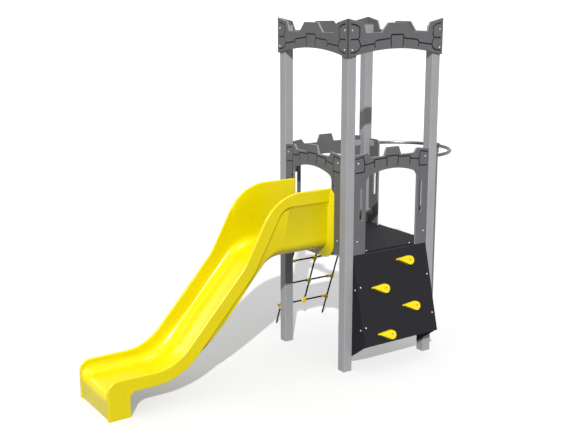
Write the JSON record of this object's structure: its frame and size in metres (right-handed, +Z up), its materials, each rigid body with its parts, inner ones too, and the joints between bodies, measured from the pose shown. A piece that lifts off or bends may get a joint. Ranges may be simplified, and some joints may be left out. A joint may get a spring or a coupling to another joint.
{
  "type": "play tower with straight slide",
  "caption": "Square castle-style play tower with a straight slide, a leaning climbing wall, a climbing net and a fireman's pole with a hoop rail.",
  "frame": {"origin": "on the ground at the centre of the four posts, the centre of the ground anchor pattern", "axes": "+Z up, -Y the way the slide leaves, +X the climbing wall's side, -X the net's side, +Y the pole's side"},
  "size_m": [1.7822, 3.9512, 3.297],
  "materials": {
    "batten_plastic": "matt",
    "bolt_steel": "button heads",
    "cap_plastic": "matt",
    "castle_board": "fine-grained, black joints",
    "chute_plastic": "glossy rotomoulded",
    "connector_plastic": "moulded",
    "dark_board": "fine-grained",
    "galvanised_steel": "galvanised",
    "grip_plastic": "satin moulded",
    "net_rope": "braided over a steel core",
    "post_metal": "satin powder coat",
    "tube_steel": "satin"
  },
  "bodies": {
    "root": {"arch_panel_net": "castle_board", "arch_panel_slide": "castle_board", "arch_panel_wall": "castle_board", "climbing_grip_1": "grip_plastic", "climbing_grip_2": "grip_plastic", "climbing_grip_3": "grip_plastic", "climbing_grip_4": "grip_plastic", "climbing_grip_bolts": "bolt_steel", "climbing_wall_panel": "dark_board", "crown_bolts": "bolt_steel", "crown_panel_net": "castle_board", "crown_panel_pole": "castle_board", "crown_panel_slide": "castle_board", "crown_panel_wall": "castle_board", "deck_beam_net": "galvanised_steel", "deck_beam_pole": "galvanised_steel", "deck_beam_slide": "galvanised_steel", "deck_beam_wall": "galvanised_steel", "deck_bearer_pole_end": "galvanised_steel", "deck_bearer_slide_end": "galvanised_steel", "deck_board": "dark_board", "deck_screws": "bolt_steel", "firemans_pole": "tube_steel", "hoop_flange_bolts": "bolt_steel", "hoop_flange_net_end": "tube_steel", "hoop_flange_wall_end": "tube_steel", "hoop_rail": "tube_steel", "net_cross_connectors": "connector_plastic", "net_cross_rope_high": "net_rope", "net_cross_rope_low": "net_rope", "net_cross_rope_mid": "net_rope", "net_hangers": "galvanised_steel", "net_tee_connectors": "connector_plastic", "net_upright_rope_left": "net_rope", "net_upright_rope_middle": "net_rope", "net_upright_rope_right": "net_rope", "panel_bolts": "bolt_steel", "panel_tabs": "post_metal", "pole_clamp": "tube_steel", "pole_foot_flange": "tube_steel", "pole_side_panel_net_end": "castle_board", "pole_side_panel_wall_end": "castle_board", "post_cap_net_slide": "cap_plastic", "post_cap_pole_net": "cap_plastic", "post_cap_slide_wall": "cap_plastic", "post_cap_wall_pole": "cap_plastic", "post_foot_plates": "galvanised_steel", "post_net_slide": "post_metal", "post_pole_net": "post_metal", "post_slide_wall": "post_metal", "post_wall_pole": "post_metal", "slide_chute": "chute_plastic", "slide_flange_bolts": "bolt_steel", "slide_foot_anchor_angle": "galvanised_steel", "wall_batten_pole_end": "batten_plastic", "wall_batten_slide_end": "batten_plastic", "wall_bolts": "bolt_steel", "wall_cheek_pole_end": "dark_board", "wall_cheek_slide_end": "dark_board"}
  },
  "joints": []
}
